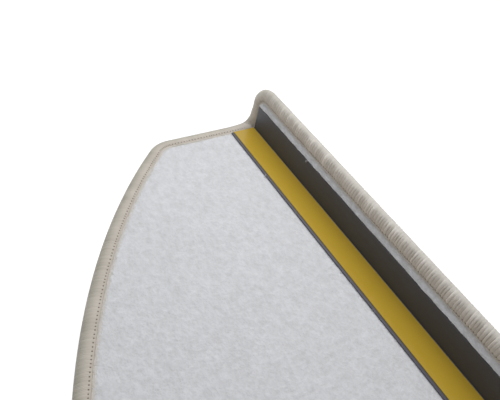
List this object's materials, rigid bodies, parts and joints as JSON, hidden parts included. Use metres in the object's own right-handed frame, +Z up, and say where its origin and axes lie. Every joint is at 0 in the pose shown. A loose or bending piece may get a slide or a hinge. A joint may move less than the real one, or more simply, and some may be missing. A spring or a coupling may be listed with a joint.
{
  "type": "anti slip stair tread mat",
  "caption": "Curved carpet stair tread mat with an overlocked edge, a fleece back and a dark plastic angle with taped liner along its raised nose lip.",
  "frame": {"origin": "middle of the footprint, on the floor that the pile side lies on", "axes": "+X along the stair nose, +Y from the nose lip to the curved back edge, +Z up, out of the fleece side"},
  "size_m": [0.65, 0.2388, 0.0464],
  "materials": {
    "loop_pile": "short loop pile, matt",
    "white_fleece": "needled fleece, matt",
    "binding_yarn": "close yarn turns, matt",
    "dark_plastic": "satin",
    "adhesive_film": "clear, tacky",
    "liner_paper": "siliconed, half gloss"
  },
  "bodies": {
    "root": {"pile_face": "loop_pile", "fleece_backing": "white_fleece", "edge_binding": "binding_yarn", "angle_profile": "dark_plastic", "bond_tape_flat": "adhesive_film", "bond_tape_upright": "adhesive_film", "mounting_tape": "adhesive_film", "release_liner": "liner_paper"}
  },
  "joints": []
}
